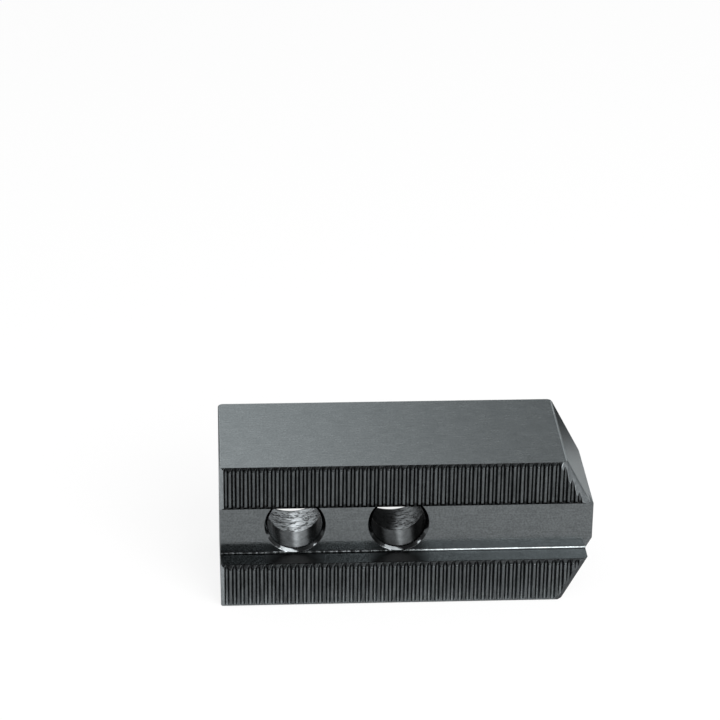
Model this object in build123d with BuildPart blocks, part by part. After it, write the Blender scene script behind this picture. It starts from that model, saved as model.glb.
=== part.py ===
"""Pointed top jaw for a power chuck: one steel block with a serrated, keyed base and two screw holes.

The jaw lies on one side, as it would on a bench. +X runs along it to the pointed nose, the serrated
base faces -Y, the plain top face is +Y, and +Z runs up across its width. The origin is the middle of
its footprint. Sizes are in millimetres and degrees.
"""
from build123d import *

import os
from math import floor, radians, tan

os.makedirs("parts", exist_ok=True)

# Block: length to the nose flat, width across the base, height from the tooth crests to the top face
jaw_length = 72.0
jaw_width = 30.0
jaw_height = 28.0

# Nose: a flat between two facets, leaned so that three jaws can close to a point
nose_flat_width = 7.5
nose_facet_angle = 28.0

# Key slot along the middle of the base
slot_width = 12.0
slot_depth = 5.0
slot_corner_radius = 0.4

# Serrations across the base
tooth_pitch = 1.5
tooth_angle = 60.0
tooth_depth = 0.65
crest_flat = 0.42
first_crest_distance = 1.9

# Bevels around the base, each as wide on both of its faces
side_bevel = 0.7
slot_bevel = 0.8
blunt_end_bevel = 0.9
facet_bevel = 1.4

# Rounded edges of the rest of the block: where the top face meets the ends, and around the sides
top_end_radius = 1.0
corner_radius = 0.3

# Cap screw holes: a bore from the key slot and a head recess from the top face
bore_diameter = 10.5
bore_bevel = 0.7
recess_diameter = 18.0
recess_depth = 16.0
recess_bevel = 0.5
first_hole_distance = 14.4
hole_spacing = 20.0
hole_count = 2

# Places worked out from the sizes above
blunt_end_x = -jaw_length / 2
nose_x = jaw_length / 2
base_y = -jaw_height / 2
slot_floor_y = base_y + slot_depth
top_y = jaw_height / 2
middle_z = jaw_width / 2
facet_start_x = nose_x - (jaw_width - nose_flat_width) / 2 * tan(radians(nose_facet_angle))
hole_places_x = [blunt_end_x + first_hole_distance + index * hole_spacing for index in range(hole_count)]

plan_outline = [
    (blunt_end_x, 0),
    (facet_start_x, 0),
    (nose_x, middle_z - nose_flat_width / 2),
    (nose_x, middle_z + nose_flat_width / 2),
    (facet_start_x, jaw_width),
    (blunt_end_x, jaw_width),
]

# Each gap between two teeth is cut by a wedge whose wide end starts just outside the crests.
wedge_overrun = 0.2
wedge_width = tooth_pitch - crest_flat + 2 * wedge_overrun * tan(radians(tooth_angle / 2))
first_gap_x = blunt_end_x + first_crest_distance - tooth_pitch / 2
gap_count = floor((nose_x - first_gap_x) / tooth_pitch) + 1
gap_places = [(first_gap_x + index * tooth_pitch, base_y - wedge_overrun) for index in range(gap_count)]

with BuildPart() as top_jaw:
    # Pointed block
    with BuildSketch(Plane.XZ.offset(-top_y)):
        with BuildLine():
            Polyline(*plan_outline, close=True)
        make_face()
    extrude(amount=jaw_height)

    # Key slot, open at both ends
    with BuildSketch(Plane.YZ.offset(blunt_end_x)) as slot_section:
        with Locations((slot_floor_y, middle_z)):
            Rectangle(2 * slot_depth, slot_width, align=(Align.MAX, Align.CENTER))
        fillet(slot_section.vertices().group_by(Axis.X)[-1], slot_corner_radius)
    extrude(amount=jaw_length, mode=Mode.SUBTRACT)

    # Bevels around the two lands of the base: facets, sides, slot and blunt end
    base_edges = top_jaw.edges().group_by(Axis.Y)[0]
    chamfer(base_edges - base_edges.filter_by(Axis.X) - base_edges.filter_by(Axis.Z), facet_bevel)
    long_edges = top_jaw.edges().group_by(Axis.Y)[0].filter_by(Axis.X).group_by(Axis.Z)
    chamfer(long_edges[0] + long_edges[-1], side_bevel)
    long_edges = top_jaw.edges().group_by(Axis.Y)[0].filter_by(Axis.X).group_by(Axis.Z)
    chamfer(long_edges[1] + long_edges[2], slot_bevel)
    cross_edges = top_jaw.edges().group_by(Axis.Y)[0].filter_by(Axis.Z)
    chamfer(cross_edges.group_by(Axis.X)[0], blunt_end_bevel)

    # Rounded ends of the top face, then the edges around both sides and the upright corners of the nose
    top_edges = top_jaw.edges().group_by(Axis.Y)[-1]
    fillet(top_edges - top_edges.filter_by(Axis.X), top_end_radius)
    upper_edges = top_jaw.edges().filter_by(lambda edge: edge.bounding_box().max.Y > slot_floor_y)
    edges_across = upper_edges.group_by(Axis.Z)
    nose_corners = upper_edges.filter_by(Axis.Y).group_by(Axis.X)[-1]
    fillet(edges_across[0] + edges_across[-1] + nose_corners, corner_radius)

    # Head recesses, sunk from the top face
    with Locations(Plane.ZX.offset(top_y)):
        with Locations(*[(middle_z, x) for x in hole_places_x]):
            CounterSinkHole(recess_diameter / 2, recess_diameter / 2 + recess_bevel, recess_depth, 90)

    # Screw bores, from the slot floor into the recesses
    with Locations(Plane.XZ.offset(-slot_floor_y)):
        with Locations(*[(x, middle_z) for x in hole_places_x]):
            CounterSinkHole(bore_diameter / 2, bore_diameter / 2 + bore_bevel, jaw_height - slot_depth, 90)

    # Serrations across both lands
    with BuildSketch():
        with Locations(*gap_places):
            Trapezoid(
                wedge_width,
                tooth_depth + wedge_overrun,
                90 - tooth_angle / 2,
                align=(Align.CENTER, Align.MIN),
            )
    extrude(amount=jaw_width, mode=Mode.SUBTRACT)

top_jaw.part.label = "top_jaw"
export_step(top_jaw.part, "parts/top_jaw.step")
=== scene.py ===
"""Looks of a pointed top jaw for a power chuck: blackened steel with a serrated, keyed base."""
from math import atan2, cos, hypot, pi, radians, sin, tan

import bmesh
import bpy
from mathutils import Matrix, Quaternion, Vector, noise


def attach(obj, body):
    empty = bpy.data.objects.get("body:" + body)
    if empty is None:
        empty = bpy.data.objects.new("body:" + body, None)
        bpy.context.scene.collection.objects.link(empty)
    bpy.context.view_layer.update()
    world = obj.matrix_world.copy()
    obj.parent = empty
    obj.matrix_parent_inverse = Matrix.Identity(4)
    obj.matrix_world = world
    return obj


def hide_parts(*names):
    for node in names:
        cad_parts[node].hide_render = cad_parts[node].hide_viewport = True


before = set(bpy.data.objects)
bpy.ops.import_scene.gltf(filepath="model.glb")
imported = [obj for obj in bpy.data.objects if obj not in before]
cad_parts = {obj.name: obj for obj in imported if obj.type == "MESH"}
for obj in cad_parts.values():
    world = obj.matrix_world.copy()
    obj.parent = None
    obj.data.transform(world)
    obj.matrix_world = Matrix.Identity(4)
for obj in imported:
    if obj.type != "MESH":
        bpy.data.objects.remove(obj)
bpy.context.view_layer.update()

MM = 0.001

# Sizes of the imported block, in millimetres and degrees
BLUNT_END_X, NOSE_X = -36.0, 36.0
BASE_Y, SLOT_FLOOR_Y, RECESS_FLOOR_Y, TOP_Y = -14.0, -9.0, -2.0, 14.0
MIDDLE_Z, WIDTH = 15.0, 30.0
NOSE_FLAT_WIDTH, NOSE_FACET_ANGLE = 7.5, 28.0
TOOTH_PITCH, TOOTH_ANGLE, TOOTH_DEPTH, CREST_FLAT = 1.5, 60.0, 0.65, 0.42
FIRST_CREST_X = BLUNT_END_X + 1.9
SIDE_BEVEL, SLOT_BEVEL, BLUNT_END_BEVEL, FACET_BEVEL = 0.7, 0.8, 0.9, 1.4
SLOT_HALF = 6.0
HOLES_X = (-21.6, -1.6)
HOLES_MIDDLE_X, HOLE_SPACING = sum(HOLES_X) / 2, HOLES_X[1] - HOLES_X[0]
BORE_RADIUS, BORE_BEVEL, RECESS_RADIUS, RECESS_BEVEL = 5.25, 0.7, 9.0, 0.5

# Grid of the serrated relief: its lines beside each crest, the least gap between lines along the jaw, and
# the number of steps in each of the five stretches from the slot to the outer rim of a land
LINES_BESIDE_CREST = (0.0, 0.11, 0.17, 0.22, 0.28, 0.39, 0.50, 0.56, 0.62, 0.68)
LEAST_LINE_GAP = 0.012
STEPS_ACROSS = (2, 7, 9, 8, 2)

# Grid of the screw holes: lines around each hole, and the least angle between them
LINES_AROUND, LEAST_LINE_ANGLE = 150, 0.012

# Where one shade of a surface gives way to the next, as the start and end of a smooth step
CREST_EDGE, ROOT_EDGE = (0.13, 0.24), (0.53, 0.60)
BEVEL_EDGE = (0.06, 0.16)
SLOT_CORNER_EDGE = (-0.42, -0.36)

# How near two points have to be to be joined, in metres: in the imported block, and along the rims of the new
# surfaces. Below the first angle two faces count as one flat face, and above the second their edge is sharp.
SAME_POINT, SAME_RIM_POINT = 1e-7, 3e-6
FLAT_ANGLE, SHARP_ANGLE = 0.3, 33.0

# Slots of the block's four finishes
GROUND, SERRATED, MILLED, BORED = range(4)


class Value:
    """A socket of a material, with arithmetic: each operation adds a Math node."""

    def __init__(self, finish, socket):
        self.finish = finish
        self.socket = socket

    def math(self, operation, *others, swapped=False):
        values = [self, *others]
        if swapped:
            values.reverse()
        return self.finish.node("ShaderNodeMath", {"operation": operation}, dict(enumerate(values)))

    def __add__(self, other):
        return self.math("ADD", other)

    def __radd__(self, other):
        return self.math("ADD", other, swapped=True)

    def __sub__(self, other):
        return self.math("SUBTRACT", other)

    def __rsub__(self, other):
        return self.math("SUBTRACT", other, swapped=True)

    def __mul__(self, other):
        return self.math("MULTIPLY", other)

    def __rmul__(self, other):
        return self.math("MULTIPLY", other, swapped=True)

    def __truediv__(self, other):
        return self.math("DIVIDE", other)

    def __rtruediv__(self, other):
        return self.math("DIVIDE", other, swapped=True)

    def __neg__(self):
        return self.math("MULTIPLY", -1.0)

    def __abs__(self):
        return self.math("ABSOLUTE")

    def least(self, other):
        return self.math("MINIMUM", other)

    def most(self, other):
        return self.math("MAXIMUM", other)

    def step(self, low, high):
        """0 below low and 1 above high, smooth between them."""
        links = {"Value": self, "From Min": low, "From Max": high}
        return self.finish.node("ShaderNodeMapRange", {"interpolation_type": "SMOOTHSTEP"}, links, "Result")


class Finish:
    """The nodes of one surface finish, or of the studio's own light."""

    def __init__(self, owner, out):
        owner.use_nodes = True
        self.owner = owner
        self.tree = owner.node_tree
        self.tree.nodes.clear()
        self.out = out

    def node(self, kind, settings=None, links=None, out=0):
        """Adds a node: its settings first, then the values or links of its sockets."""
        made = self.tree.nodes.new(kind)
        for name, value in (settings or {}).items():
            setattr(made, name, value)
        for name, value in (links or {}).items():
            socket = made.inputs[name]
            if isinstance(value, Value):
                self.tree.links.new(value.socket, socket)
            elif isinstance(value, tuple) and socket.type == "RGBA":
                socket.default_value = (*value, 1.0)
            else:
                socket.default_value = value
        return Value(self, made.outputs[out] if len(made.outputs) else None)

    def place(self, kind="Object", scale=1 / MM):
        """The point of the surface in millimetres of the part's own frame, as x, y and z."""
        spot = self.node("ShaderNodeTexCoord", out=kind)
        return [self.node("ShaderNodeSeparateXYZ", links={0: spot}, out=axis) * scale for axis in "XYZ"]

    def point(self, x, y, z):
        return self.node("ShaderNodeCombineXYZ", links={0: x, 1: y, 2: z})

    def grain(self, spot, scale, detail, roughness):
        """Noise from 0 to 1 with its middle at 0.5, scale in lumps per millimetre."""
        links = {"Vector": spot, "Scale": scale, "Detail": detail, "Roughness": roughness}
        return self.node("ShaderNodeTexNoise", None, links, "Fac")

    def mix(self, share, low, high):
        return self.node("ShaderNodeMix", {"data_type": "RGBA"}, {0: share, 6: low, 7: high}, 2)

    def scaled(self, colour, share):
        links = {0: colour, "Scale": share}
        return self.node("ShaderNodeVectorMath", {"operation": "SCALE"}, links)

    def bump(self, height, depth):
        """The surface raised by a height from 0 to 1, with the full depth in millimetres."""
        links = {"Strength": 1.0, "Distance": depth * MM, "Height": height}
        return self.node("ShaderNodeBump", None, links)

    def surface(self, **sockets):
        links = {name.replace("_", " "): value for name, value in sockets.items()}
        return self.node("ShaderNodeBsdfPrincipled", None, links)

    def done(self, shader):
        self.node(self.out, None, {"Surface": shader})
        return self.owner


def new_finish(name):
    return Finish(bpy.data.materials.new(name), "ShaderNodeOutputMaterial")


def from_facet(x, z):
    """Distance in from the nearer facet of the nose."""
    facet = radians(NOSE_FACET_ANGLE)
    return (NOSE_X - x) * cos(facet) + (NOSE_FLAT_WIDTH / 2 - abs(z - MIDDLE_Z)) * sin(facet)


def beside_hole(x):
    """Distance along the jaw from the nearer hole's axis, less than 0 between the two holes."""
    return abs(x - HOLES_MIDDLE_X) - HOLE_SPACING / 2


def land_tone(finish, x, y, z, lines):
    """Shade of a serrated land, and how far it is a facet bevel.

    Grooves carry painted shade, lightened near the floor by painted bounce light, and crests are uneven. The
    upper land carries painted shade. The bevels at both ends are bare, the upper facet bevel also painted
    lighter as a painted highlight, and the long bevels carry painted shade, apart from the one that the jaw
    lies on.
    """
    tooth = (x - FIRST_CREST_X) / TOOTH_PITCH
    number = finish.node("ShaderNodeMath", {"operation": "ROUND"}, {0: tooth})
    from_crest = abs(tooth - number) * TOOTH_PITCH
    # Flanks and roots get painted shade in the grooves below
    root = from_crest.step(*ROOT_EDGE)
    flank = from_crest.step(*CREST_EDGE) * (1.0 - root)
    blunt = 1.0 - (x - BLUNT_END_X + y - BASE_Y - BLUNT_END_BEVEL).step(*BEVEL_EDGE)
    facet = 1.0 - (from_facet(x, z) + y - BASE_Y - FACET_BEVEL).step(*BEVEL_EDGE)
    bare = blunt.most(facet)
    from_middle = abs(z - MIDDLE_Z)
    from_rim = (WIDTH / 2 - from_middle + 0.1).least(from_middle - SLOT_HALF)
    # Painted shade on the long bevels, all but the one at z = 0
    bevel = (1.0 - from_rim.step(0.60, 1.10)) * z.step(0.9, 1.8)
    each = finish.grain(finish.point(number * 3.7, z * 0.10, 0.0), 1.0, 2.0, 0.6)
    worn = finish.grain(finish.point(x * 2.0, 0.0, z * 0.5), 1.0, 3.0, 0.6)
    crest = 1.0 + 0.9 * (each - 0.5) + 0.7 * (worn - 0.5) + 0.4 * (lines - 0.5)
    fleck = (finish.grain(finish.point(x, y, z), 4.0, 3.0, 0.7) - 0.58).step(0.0, 0.08)
    fleck = fleck * (1.0 - from_facet(x, z).step(0.05, 0.30))
    # foot: painted bounce light that lightens the grooves near the floor
    foot = 1.0 - z.step(0.3, 5.0)
    # upper: painted shade on the upper land's grooves, and a painted highlight on its facet bevel
    upper = z.step(9.0, 21.0)
    grooved = crest * (0.84 - 0.21 * flank - 0.10 * root + 0.7 * foot * flank.most(root))
    grooved = grooved * (1.0 - 0.79 * bevel) * (0.90 - 0.18 * upper)
    # The upper facet bevel is partly bare steel and partly a painted highlight
    smooth = 1.65 * blunt + (0.50 + 0.95 * upper + 0.8 * fleck) * (1.0 - blunt)
    return grooved * (1.0 - bare) + smooth * bare, bare * (1.0 - blunt)


def edge_wear_and_highlight(x, y, z):
    """1 along the edges of the block, where two of its faces meet and the skin is rubbed thin; the
    brightening made from it is partly a painted highlight.
    """
    gaps = (x - BLUNT_END_X, NOSE_X - x, TOP_Y - y, WIDTH / 2 - abs(z - MIDDLE_Z), from_facet(x, z))
    near = [1.0 - gap.step(0.10, 0.34) for gap in gaps]
    return (sum(near[1:], near[0]) - 1.0).most(0.0).least(1.0)


def blackened_steel(name, kind, shades, rough, streaks, depth, stretch, tint):
    """Steel with a black oxide skin: cutting streaks drawn out by stretch, mottled colour and fine pits.

    The number of streaks is for one millimetre, and depth is how deep streaks and pits are, in millimetres.
    """
    finish = new_finish(name)
    x, y, z = finish.place()
    spot = finish.point(x, y, z)
    mottle = finish.grain(spot, 0.30, 4.0, 0.62)
    cloud = finish.grain(spot, 1.3, 3.0, 0.6)
    speckle = finish.grain(spot, 2.8, 4.0, 0.72)
    lines = finish.grain(finish.point(x * stretch[0], y * stretch[1], z * stretch[2]), streaks, 4.0, 0.65)
    share = (mottle * 0.10 + cloud * 0.08 + lines * 0.26 + speckle * 0.56).step(0.36, 0.64)
    level = 0.86 + 0.28 * share
    roughness = rough + 0.04 * (mottle - 0.5) + 0.08 * (lines - 0.5)
    height = lines * 0.35 + speckle * 0.4
    if kind == SERRATED:
        tone, facet_bevel = land_tone(finish, x, y, z, lines)
        level = level * tone
        roughness = roughness + 0.22 * facet_bevel
    elif kind == GROUND:
        # Rubbed edges, brightened further as a painted highlight of the rounded edges' glint
        worn = edge_wear_and_highlight(x, y, z) * (0.6 + 0.8 * cloud)
        roughness = roughness + 0.16 * worn
        # Painted shade on the nose facet, darker towards the top face
        facet = (1.0 - from_facet(x, z).step(0.05, 0.3)) * (1.0 - worn.least(1.0))
        level = level * (1.0 + 1.3 * worn) * (1.0 - facet * (0.08 + 0.48 * y.step(BASE_Y, 12.0)))
    else:
        beyond_slot = abs(z - MIDDLE_Z) - SLOT_HALF
        wall = beyond_slot.step(-0.3, -0.05)
        # by_hole also puts painted shade on the slot wall beside the holes, below
        by_hole = 1.0 - abs(beside_hole(x)).step(3.4, 7.0)
        roughness = roughness + wall * (0.06 + 0.24 * by_hole)
        # Painted highlight: the slot corner's glint brightened to the right and broken into dashes at the
        # left
        corner = beyond_slot.step(*SLOT_CORNER_EDGE) * (y - SLOT_FLOOR_Y).step(*SLOT_CORNER_EDGE)
        right = x.step(-4.0, 10.0)
        dash = (finish.grain(finish.point(x, 0.0, 0.0), 1.2, 2.0, 0.7) - 0.46).step(0.0, 0.1)
        painted_corner_glint = 1.8 * right - 0.85 * (1.0 - dash) * (1.0 - right)
        level = level * (1.0 - 0.65 * wall * by_hole) * (1.0 + corner * painted_corner_glint)
        height = height + cloud * 0.8 * beyond_slot.step(-0.6, -0.3)
    colour = finish.scaled(finish.mix(share, *shades), level)
    normal = finish.bump(height, depth)
    return finish.done(finish.surface(
        Base_Color=colour, Metallic=1.0, Roughness=roughness, Normal=normal, Specular_Tint=tint))


def bored_steel(name):
    """Drilled and counterbored steel: shiny bores, and recesses torn and scored by the cutter.

    The second hole, nearer to the nose, is darker than the first: painted shade, with a painted lit patch on
    the right of its recess. The sides of both bores carry painted shade.
    """
    finish = new_finish(name)
    x, y, z = finish.place()
    spot = finish.point(x, y, z)
    rim_y = TOP_Y - RECESS_BEVEL
    recess = (y - RECESS_FLOOR_Y).step(-0.1, 0.3) * (1.0 - y.step(rim_y - 0.5, rim_y - 0.1))
    second = (x - HOLES_MIDDLE_X).step(-0.5, 0.5)
    aside = beside_hole(x)
    turn = finish.node("ShaderNodeMath", {"operation": "ARCTAN2"}, {0: aside, 1: MIDDLE_Z - z})
    wander = finish.grain(finish.point(aside * 0.35, y * 0.5, z * 0.35), 0.9, 3.0, 0.55)
    along = y * 1.25 + wander * 2.4 + turn * 0.5 + x * 0.2
    scored = finish.grain(finish.point(turn * 3.0, along, 0.0), 1.0, 4.0, 0.62)
    torn = abs(scored - 0.5).step(0.002, 0.036)
    broad = finish.grain(finish.point(turn * 2.2, y * 0.8 + wander, 4.0), 1.0, 3.0, 0.6)
    broad = (broad - 0.5).step(-0.08, 0.1)
    fine = finish.grain(finish.point(turn * 0.4, y * 6.0, 0.0), 1.0, 2.0, 0.5)
    scuff = finish.grain(spot, 0.6, 4.0, 0.65)
    height = (torn * 0.8 + broad * 0.5) * recess + fine * 0.05
    share = (torn * 0.6 + broad * 0.3 + scuff * 0.1) * recess + (fine * 0.3 + scuff * 0.7) * (1.0 - recess)
    colour = finish.mix(share.step(0.15, 0.85), (0.095, 0.102, 0.106), (0.285, 0.305, 0.316))
    colour = finish.scaled(colour, (1.0 + 0.35 * recess) * (1.0 - 0.85 * recess * (1.0 - torn)))
    # Painted shade on the second hole, with painted light on the right part of its recess
    lit = torn * (aside - 0.25 * (y - RECESS_FLOOR_Y)).step(-3.0, 0.5)
    # Painted shade on both sides of each bore
    side = (abs(aside) / BORE_RADIUS).step(0.45, 0.85) * (1.0 - recess)
    painted_hole_shade = 1.0 - second * (0.36 + recess * (0.60 - 0.38 * lit))
    painted_bore_side_shade = 1.0 - side * (0.5 + 0.35 * (-aside).step(0.0, 2.0))
    colour = finish.scaled(colour, painted_hole_shade * painted_bore_side_shade)
    roughness = 0.08 + 0.05 * scuff + 0.13 * (y - SLOT_FLOOR_Y).step(0.7, 1.1)
    normal = finish.bump(height, 0.05)
    return finish.done(finish.surface(
        Base_Color=colour, Metallic=1.0, Roughness=roughness, Normal=normal, Specular_Tint=(0.5, 0.5, 0.5)))


def smooth_top(values, blend):
    """The largest of the values, with the crease between the two largest rounded over a width of blend."""
    ordered = sorted(values)
    top, second = ordered[-1], ordered[-2]
    gap = top - second
    return top + (blend - gap) ** 2 / (4 * blend) if gap < blend else top


def tooth_floor(x, z):
    """Depth of the serrations below their crests, with softened corners and crests uneven in width."""
    if x < FIRST_CREST_X - TOOTH_PITCH:
        return 0.0
    offset = (x - FIRST_CREST_X) / TOOTH_PITCH
    aside = abs(offset - round(offset)) * TOOTH_PITCH
    crest = CREST_FLAT * (0.94 + 0.22 * noise.noise((round(offset) * 3.7, z * 0.15, 5.0)))
    slope = (aside - crest / 2) / tan(radians(TOOTH_ANGLE / 2))
    risen = smooth_top((slope, 0.0), 0.10)
    return -smooth_top((-risen, -TOOTH_DEPTH), 0.12)


def between(chain, x):
    """The point of a chain of points, sorted by x, at a given x."""
    for first, last in zip(chain, chain[1:]):
        if first[0] <= x <= last[0]:
            share = (x - first[0]) / max(last[0] - first[0], 1e-9)
            return [a + share * (b - a) for a, b in zip(first, last)]
    return list(chain[0] if x < chain[0][0] else chain[-1])


def land_relief(work, loop):
    """Adds the serrated relief of one land inside its rim, a loop of open edges of the block.

    Returns the places of its outermost points, where the rim of the block has to be split.
    """
    points = {tuple(value / MM for value in vert.co) for edge in loop for vert in edge.verts}
    inner_z = min((point[2] for point in points), key=lambda z: abs(z - MIDDLE_Z))
    outer_z = 0.0 if inner_z < MIDDLE_Z else WIDTH
    inner = sorted(point for point in points if abs(point[2] - inner_z) < 1e-3)
    tip = inner[-1]
    outer = sorted([point for point in points if abs(point[2] - inner_z) >= 1e-3] + [tip])
    places = {round(point[0], 6) for point in points}
    crest = FIRST_CREST_X - TOOTH_PITCH
    while crest < NOSE_X:
        for away in LINES_BESIDE_CREST:
            for x in (crest - away, crest + away):
                if BLUNT_END_X < x < tip[0] and all(abs(x - place) > LEAST_LINE_GAP for place in places):
                    places.add(x)
        crest += TOOTH_PITCH
    places = sorted(places)

    def across(x, low, high):
        """Places across the land at x, from the slot to its outer rim, close together over the bevels."""
        wide, away = abs(high - low), abs(high - outer_z)
        bevel_ends = []
        for deep in (-0.06, TOOTH_DEPTH):
            facet = (FACET_BEVEL - deep - from_facet(x, high)) / sin(radians(NOSE_FACET_ANGLE))
            bevel_ends.append(max(0.05, SIDE_BEVEL - deep - away, facet))
        breaks = [0.0, SLOT_BEVEL - TOOTH_DEPTH, SLOT_BEVEL + 0.1,
                  wide - bevel_ends[0], wide - bevel_ends[1], wide]
        least = min(0.03, 0.04 * wide)
        for n in range(1, 5):
            breaks[n] = min(max(breaks[n], breaks[n - 1] + least), wide - (5 - n) * least)
        found, out = [low], 1 if high > low else -1
        for start, end, parts in zip(breaks, breaks[1:], STEPS_ACROSS):
            found += [low + out * (start + (end - start) * part / parts) for part in range(1, parts + 1)]
        return found

    def depth(x, z, soft):
        """Depth of the land below its crests, as cut where soft is 0 and with worn edges where it is 1."""
        from_side, from_slot = abs(z - outer_z), abs(z - inner_z)
        wear = noise.noise((x * 1.7, z * 0.9, 3.0)) * 0.05 * soft
        bevels = (SIDE_BEVEL - from_side + wear, SLOT_BEVEL - from_slot + wear,
                  BLUNT_END_BEVEL - (x - BLUNT_END_X) + wear, FACET_BEVEL - from_facet(x, z) + wear * 0.6)
        nick = max(0.0, noise.noise((x * 0.8, z * 1.6, 9.0)) - 0.35) * 0.12 * soft
        if from_facet(x, z) <= FACET_BEVEL:
            nick = 0.0
        return smooth_top((tooth_floor(x, z) + nick, *bevels), 0.001 + 0.13 * soft)

    grid = []
    for x in places:
        low, high = between(inner, x), between(outer, x)
        column, rows = [], across(x, low[2], high[2])
        for n, z in enumerate(rows):
            edge_gap = min(abs(z - low[2]), abs(z - high[2]), x - BLUNT_END_X)
            y = BASE_Y + depth(x, z, min(1.0, edge_gap / 0.25))
            if n == 0:
                y = low[1]
            elif n == len(rows) - 1:
                y = high[1]
            column.append(work.verts.new((x * MM, y * MM, z * MM)))
        grid.append(column)
    for left, right in zip(grid, grid[1:]):
        for n in range(len(left) - 1):
            face = work.faces.new((left[n], left[n + 1], right[n + 1], right[n]))
            face.material_index = SERRATED
    rim = [column[0] for column in grid] + [column[-1] for column in grid] + grid[0]
    return [vert.co.copy() for vert in rim]


def rounded(corners, radius):
    """A line through the corners, with each inner corner rounded in four steps."""
    line = [corners[0]]
    for before, corner, after in zip(corners, corners[1:], corners[2:]):
        ends = []
        for other in (before, after):
            length = hypot(other[0] - corner[0], other[1] - corner[1])
            share = min(radius, length / 2.2) / length
            ends.append([corner[n] + share * (other[n] - corner[n]) for n in (0, 1)])
        for t in (0.0, 0.25, 0.5, 0.75, 1.0):
            shares = (1 - t) ** 2, 2 * t * (1 - t), t * t
            line.append(tuple(shares[0] * ends[0][n] + shares[1] * corner[n] + shares[2] * ends[1][n]
                              for n in (0, 1)))
    line.append(corners[-1])
    return line


def divided(line, longest):
    """The line with its long runs divided."""
    points = [line[0]]
    for start, end in zip(line, line[1:]):
        parts = max(1, round(hypot(end[0] - start[0], end[1] - start[1]) / longest))
        points += [tuple(a + (b - a) * n / parts for a, b in zip(start, end)) for n in range(1, parts + 1)]
    return points


def turned_mark(x, y, angle):
    """How far the cutter's marks stand in from the wall of a hole, in millimetres."""
    along = (cos(angle) * 1.6 + x, y * 0.9, sin(angle) * 1.6)
    if y > RECESS_FLOOR_Y + 0.3:
        wave = y * 1.15 + angle * 0.45 + 1.5 * noise.noise(along)
        tears = noise.noise((cos(angle) * 7 + x, y * 2.6 + sin(angle) * 2.0, sin(angle) * 7))
        strength = max(0.0, 0.4 + noise.noise((along[0] * 2, along[1], along[2] * 2)))
        return 0.02 * sin(2 * pi * wave) * strength + 0.02 * tears
    return 0.006 * sin(2 * pi * (y * 1.6 + angle / (2 * pi))) + 0.01 * noise.noise(along)


def rim_point(ring, x, angle):
    """The point of a hole's open rim at an angle around the axis, on the edge between two of its points."""
    for first, last in zip(ring, ring[1:] + ring[:1]):
        span = (last[0] - first[0]) % (2 * pi)
        gone = (angle - first[0]) % (2 * pi)
        if min(gone, 2 * pi - gone) < 1e-5:
            return first[1]
        if gone < span - 1e-5:
            start, run = first[1], last[1] - first[1]
            across = Vector((-sin(angle), 0.0, cos(angle)))
            middle = Vector((x, 0.0, MIDDLE_Z))
            return start - run * (start - middle).dot(across) / run.dot(across)


def hole_lining(work, x):
    """Adds the inside of one screw hole, from the slot floor to the top face.

    Returns the places of its points at both ends, where the rims of the block have to be split.
    """
    mouth = [(SLOT_FLOOR_Y + deep * BORE_BEVEL, BORE_RADIUS + wide * BORE_BEVEL)
             for deep, wide in ((0.0, 1.0), (0.27, 0.69), (0.62, 0.34), (1.0, 0.0))]
    corners = [*mouth, (RECESS_FLOOR_Y, BORE_RADIUS), (RECESS_FLOOR_Y, RECESS_RADIUS),
               (TOP_Y - RECESS_BEVEL, RECESS_RADIUS), (TOP_Y, RECESS_RADIUS + RECESS_BEVEL)]
    line = divided(rounded(corners, radius=0.16), longest=0.4)
    open_spots = [vert.co / MM for vert in work.verts if any(edge.is_boundary for edge in vert.link_edges)]
    ends = []
    for y, radius in (line[0], line[-1]):
        ring = [spot for spot in open_spots if abs(spot.y - y) < 0.2
                and abs(hypot(spot.x - x, spot.z - MIDDLE_Z) - radius) < 0.05]
        ends.append(sorted((atan2(spot.z - MIDDLE_Z, spot.x - x), spot) for spot in ring))
    angles = {angle for end in ends for angle, spot in end}
    for n in range(LINES_AROUND):
        angle = -pi + 2 * pi * n / LINES_AROUND
        if all(abs(angle - other) > LEAST_LINE_ANGLE for other in angles):
            angles.add(angle)
    angles = sorted(angles)
    rings = []
    for n, (y, radius) in enumerate(line):
        ring = []
        for angle in angles:
            if n in (0, len(line) - 1):
                spot = rim_point(ends[0 if n == 0 else 1], x, angle)
            else:
                ease = min(1.0, (y - SLOT_FLOOR_Y) / 1.0, max(0.0, TOP_Y - RECESS_BEVEL - 0.1 - y))
                far = radius - turned_mark(x, y, angle) * ease
                spot = Vector((x + far * cos(angle), y, MIDDLE_Z + far * sin(angle)))
            ring.append(work.verts.new(spot * MM))
        rings.append(ring)
    for near, far in zip(rings, rings[1:]):
        for n in range(len(angles)):
            m = (n + 1) % len(angles)
            face = work.faces.new((near[n], near[m], far[m], far[n]))
            face.material_index = BORED
    return [vert.co.copy() for vert in rings[0] + rings[-1]]


def split_rim(rim, spots):
    """Splits the open edges of a rim wherever one of the spots lies on them."""
    for edge in rim:
        start, end = (vert.co.copy() for vert in edge.verts)
        along = end - start
        shares = set()
        for spot in spots:
            share = (spot - start).dot(along) / along.length_squared
            if 1e-4 < share < 1 - 1e-4 and (start + share * along - spot).length < 2e-6:
                shares.add(round(share, 7))
        last, rest, piece = 0.0, edge, edge.verts[0]
        for share in sorted(shares):
            fresh = bmesh.utils.edge_split(rest, piece, (share - last) / (1 - last))[1]
            ahead = end - fresh.co
            rest = next(other for other in fresh.link_edges
                        if other.is_boundary and ahead.dot(other.other_vert(fresh).co - fresh.co) > 0)
            piece, last = fresh, share


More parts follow.
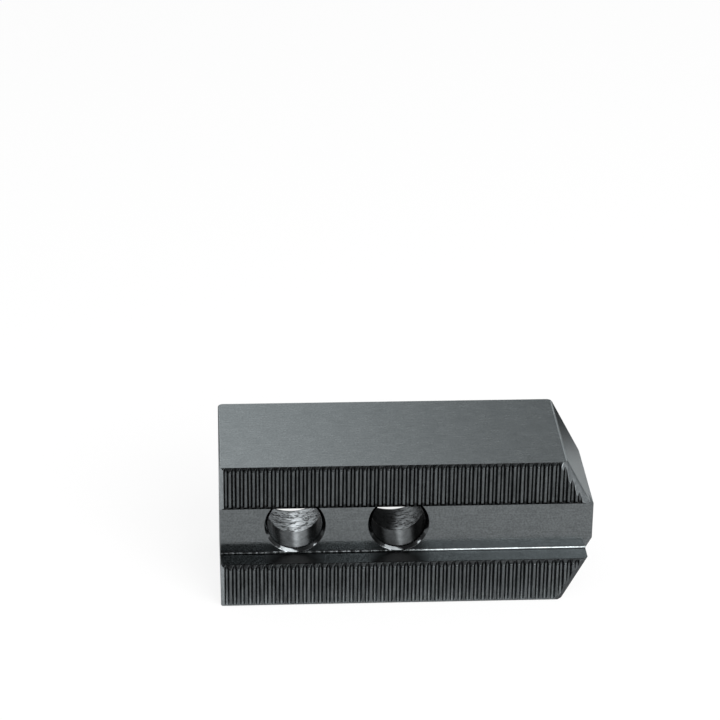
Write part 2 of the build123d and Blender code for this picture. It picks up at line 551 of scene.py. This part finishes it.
def open_loops(work):
    """Groups the open edges of the block into loops, always in the same order."""
    found, loops = set(), []
    for first in work.edges:
        if not first.is_boundary or first in found:
            continue
        found.add(first)
        group = [first]
        for edge in group:
            for vert in edge.verts:
                for other in vert.link_edges:
                    if other.is_boundary and other not in found:
                        found.add(other)
                        group.append(other)
        loops.append(group)
    return loops


def in_hole(face):
    """Whether a face belongs to the inside of a screw hole."""
    middle = face.calc_center_median() / MM
    if abs(face.normal.y) > 0.99:
        return abs(middle.y - RECESS_FLOOR_Y) < 0.1
    reach = RECESS_RADIUS + RECESS_BEVEL + 0.05
    return middle.y > SLOT_FLOOR_Y - 0.01 and any(
        all(hypot(vert.co.x / MM - x, vert.co.z / MM - MIDDLE_Z) < reach for vert in face.verts)
        for x in HOLES_X)


def finished_block(name, source):
    """The block with its serrations, bevels, holes and edges as cutting and deburring leave them."""
    mesh = source.data.copy()
    mesh.name = name
    mesh.materials.clear()
    work = bmesh.new()
    work.from_mesh(mesh)
    bmesh.ops.remove_doubles(work, verts=work.verts, dist=SAME_POINT)
    bmesh.ops.dissolve_limit(work, angle_limit=radians(FLAT_ANGLE), verts=work.verts, edges=work.edges)
    deepest = (BASE_Y + FACET_BEVEL + 0.01) * MM
    relief = [face for face in work.faces
              if face.normal.y < -0.3 and all(vert.co.y < deepest for vert in face.verts)]
    holes = [face for face in work.faces if in_hole(face)]
    for face in work.faces:
        middle = face.calc_center_median() / MM
        in_slot = abs(middle.z - MIDDLE_Z) < SLOT_HALF + 0.1 and middle.y < SLOT_FLOOR_Y + 0.1
        face.material_index = MILLED if in_slot else GROUND
    bmesh.ops.delete(work, geom=relief + holes, context="FACES")
    spots = []
    for loop in open_loops(work):
        if all(vert.co.y < deepest for edge in loop for vert in edge.verts):
            spots += land_relief(work, loop)
    for x in HOLES_X:
        spots += hole_lining(work, x)
    rim = [edge for edge in work.edges
           if edge.is_boundary and edge.link_faces[0].material_index in (GROUND, MILLED)]
    split_rim(rim, spots)
    bmesh.ops.remove_doubles(work, verts=work.verts, dist=SAME_RIM_POINT)
    bmesh.ops.recalc_face_normals(work, faces=work.faces)
    work.to_mesh(mesh)
    work.free()
    block = bpy.data.objects.new(name, mesh)
    bpy.context.scene.collection.objects.link(block)
    mesh.polygons.foreach_set("use_smooth", [True] * len(mesh.polygons))
    mesh.set_sharp_from_angle(angle=radians(SHARP_ANGLE))
    even = block.modifiers.new("even_shading", "WEIGHTED_NORMAL")
    even.keep_sharp = True
    even.weight = 90
    return block


block = finished_block("jaw_block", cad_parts["top_jaw"])
for finish in (
    blackened_steel(
        "ground_blackened_steel", GROUND, shades=((0.136, 0.147, 0.151), (0.164, 0.177, 0.181)),
        rough=0.26, streaks=3.0, depth=0.008, stretch=(0.12, 1.0, 1.0), tint=(0.42, 0.45, 0.46)),
    blackened_steel(
        "serrated_blackened_steel", SERRATED, shades=((0.110, 0.120, 0.125), (0.138, 0.150, 0.155)),
        rough=0.22, streaks=1.6, depth=0.03, stretch=(1.2, 1.0, 0.08), tint=(0.6, 0.6, 0.6)),
    blackened_steel(
        "milled_blackened_steel", MILLED, shades=((0.092, 0.100, 0.103), (0.122, 0.132, 0.136)),
        rough=0.14, streaks=3.0, depth=0.03, stretch=(0.05, 1.0, 1.0), tint=(0.7, 0.7, 0.7)),
    bored_steel("bored_steel"),
):
    block.data.materials.append(finish)
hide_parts("top_jaw")
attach(block, "root")


def seen_as(finish):
    """Whether light is on its way to the camera, to a mirroring surface or through a clear one."""
    kinds = ("Camera", "Glossy", "Transmission")
    return [finish.node("ShaderNodeLightPath", out=f"Is {kind} Ray") for kind in kinds]


def stage_floor():
    """A floor that looks white and keeps the jaw's shadow. The steel mirrors it darker behind the jaw."""
    finish = new_finish("pale_floor")
    x, y = finish.place()[:2]
    camera, glossy, clear = seen_as(finish)
    spread = abs(x) / y.most(1.0)
    dark = y.step(12.0, 18.0) * spread.step(0.02, 0.22) * (1.0 - spread.step(0.7, 1.0))
    pale = finish.node("ShaderNodeBsdfDiffuse", None, {"Color": (0.95, 0.95, 0.95)})
    white = finish.node("ShaderNodeEmission", None, {"Color": (1.0, 1.0, 1.0), "Strength": 1.0})
    shade = finish.node("ShaderNodeEmission", None, {"Color": (0.05, 0.05, 0.05), "Strength": 1.0})
    shader = finish.node("ShaderNodeMixShader", None, {0: 0.85 * camera.most(clear), 1: pale, 2: white})
    shader = finish.node("ShaderNodeMixShader", None, {0: 0.92 * glossy * dark, 1: shader, 2: shade})
    mesh = bpy.data.meshes.new("floor")
    reach = 1.5
    corners = [(-reach, -reach, 0), (reach, -reach, 0), (reach, reach, 0), (-reach, reach, 0)]
    mesh.from_pydata(corners, [], [(0, 1, 2, 3)])
    floor = bpy.data.objects.new("floor", mesh)
    bpy.context.scene.collection.objects.link(floor)
    mesh.materials.append(finish.done(shader))


def studio_world():
    """White all round to the camera, and plain light on the jaw.

    What the steel mirrors is brightest straight behind the jaw, dimmer to both sides, and dark in front of
    it and low behind it on both sides.
    """
    world = bpy.data.worlds.new("studio")
    bpy.context.scene.world = world
    finish = Finish(world, "ShaderNodeOutputWorld")
    x, y, z = finish.place("Generated", 1.0)
    camera, glossy, clear = seen_as(finish)
    front = (-y).step(-0.30, 0.15) * z.step(-0.08, 0.06) * (1.0 - 0.9 * x.step(0.96, 0.99))
    low = 1.0 - (z + 0.22 * x.least(0.0) - 0.05 * x.most(0.0)).step(0.15, 0.27)
    low = low * y.step(0.2, 0.6) * abs(x).step(0.12, 0.26) * (1.0 - abs(x).step(0.6, 0.9))
    left = 0.5 * (-x).step(0.02, 0.12) * x.step(-0.7, -0.5)
    middle = 2.0 - 14.0 * x.most(0.0) - 8.0 * (-0.06 - x).most(0.0)
    white = middle.most(0.55 + left) * (1.0 + 0.5 * z.step(0.44, 0.62))
    dark = 0.07 + 0.20 * (1.0 - z.step(0.50, 0.70))
    mirrored = white * (1.0 - front) * (1.0 - 0.95 * low) + dark * front
    plain = 0.62
    strength = plain + (1.0 - plain) * camera.most(clear) + (mirrored - plain) * glossy
    finish.done(finish.node("ShaderNodeBackground", None, {"Color": (1.0, 1.0, 1.0), "Strength": strength}))


def area_light(name, spot, aim, size, watts):
    light = bpy.data.lights.new(name, "AREA")
    light.shape = "RECTANGLE"
    light.size, light.size_y = size
    light.energy = watts
    lamp = bpy.data.objects.new(name, light)
    lamp.location = spot
    lamp.rotation_mode = "QUATERNION"
    lamp.rotation_quaternion = (Vector(aim) - Vector(spot)).to_track_quat("-Z", "Y")
    bpy.context.scene.collection.objects.link(lamp)


stage_floor()
studio_world()
middle_of_jaw = (0, 0, 0.02)
area_light("softbox", (0.35, -0.67, 0.46), middle_of_jaw, size=(0.62, 0.32), watts=5.6)
area_light("high_softbox", (0.27, -0.46, 0.71), middle_of_jaw, size=(0.74, 0.30), watts=2.5)
area_light("spark", (-0.70, -0.47, 0.36), middle_of_jaw, size=(0.15, 0.15), watts=0.8)

# Camera of the photograph's view, in metres
camera = bpy.data.objects.new("camera", bpy.data.cameras.new("camera"))
camera.data.lens = 139.6
camera.data.clip_start, camera.data.clip_end = 0.05, 10.0
camera.location = (-0.03963, -0.47927, 0.27497)
aim = Vector((-0.00892, 0.0, 0.04576))
camera.rotation_mode = "QUATERNION"
towards = (aim - camera.location).to_track_quat("-Z", "Y")
camera.rotation_quaternion = towards @ Quaternion((0, 0, 1), radians(0.741))
bpy.context.scene.collection.objects.link(camera)
bpy.context.scene.camera = camera
bpy.context.scene.view_settings.view_transform = "Standard"
